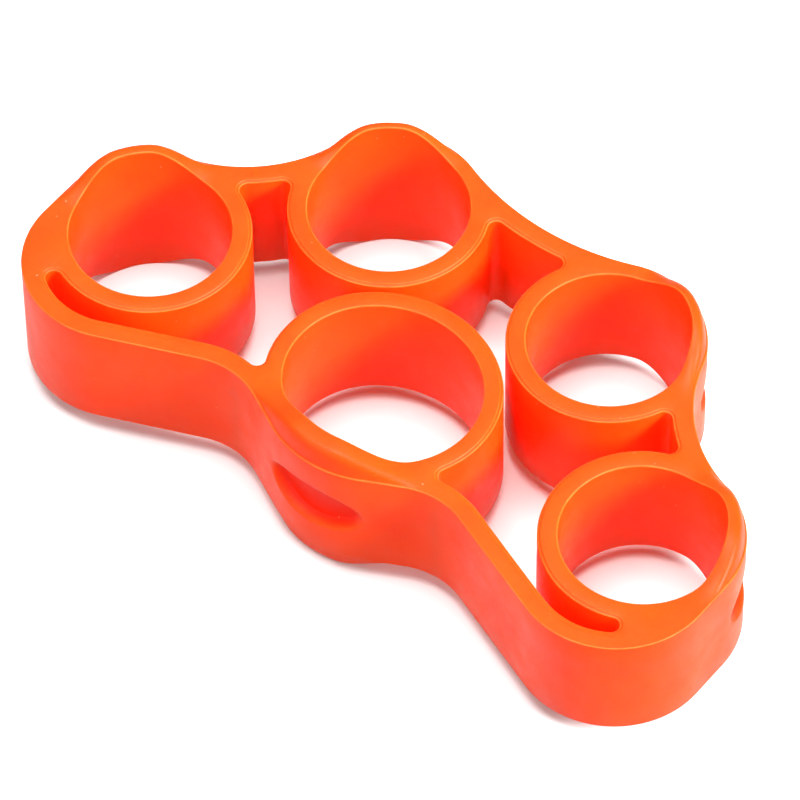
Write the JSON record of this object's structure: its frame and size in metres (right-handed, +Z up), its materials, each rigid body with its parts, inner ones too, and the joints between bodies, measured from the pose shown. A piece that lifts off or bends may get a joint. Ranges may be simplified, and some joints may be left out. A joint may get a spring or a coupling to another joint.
{
  "type": "finger exerciser",
  "caption": "Elastic silicone hand exerciser: a thumb loop and finger loops joined by one stretchy outer band.",
  "frame": {"origin": "centre of the footprint, on the surface that the lower crests stand on", "axes": "+X along the row of finger loops from index to little, +Y from the thumb loop towards the finger loops, +Z up along the holes"},
  "size_m": [0.0936, 0.0474, 0.0206],
  "materials": {
    "silicone": "satin moulded silicone rubber, slightly translucent"
  },
  "bodies": {
    "thumb": {"thumb_loop": "silicone", "thumb_index_web": "silicone", "little_thumb_web": "silicone"},
    "index": {"index_loop": "silicone", "index_middle_web": "silicone"},
    "middle": {"middle_loop": "silicone"},
    "ring": {"ring_loop": "silicone", "middle_ring_web": "silicone"},
    "little": {"little_loop": "silicone", "ring_little_web": "silicone"}
  },
  "joints": [
    {"name": "index_slide", "type": "slide", "parent": "thumb", "child": "index", "axis": [-1, 0, 0], "range_m": [0, 0.01], "stiffness_N_per_m": 500, "deforming": ["thumb_index_web"]},
    {"name": "middle_slide", "type": "slide", "parent": "index", "child": "middle", "axis": [0, 1, 0], "range_m": [0, 0.008], "stiffness_N_per_m": 500, "deforming": ["index_middle_web"]},
    {"name": "little_slide", "type": "slide", "parent": "thumb", "child": "little", "axis": [1, 0, 0], "range_m": [0, 0.01], "stiffness_N_per_m": 500, "deforming": ["little_thumb_web"]},
    {"name": "ring_slide", "type": "slide", "parent": "little", "child": "ring", "axis": [0, 1, 0], "range_m": [0, 0.008], "stiffness_N_per_m": 500, "deforming": ["ring_little_web", "middle_ring_web"]}
  ]
}
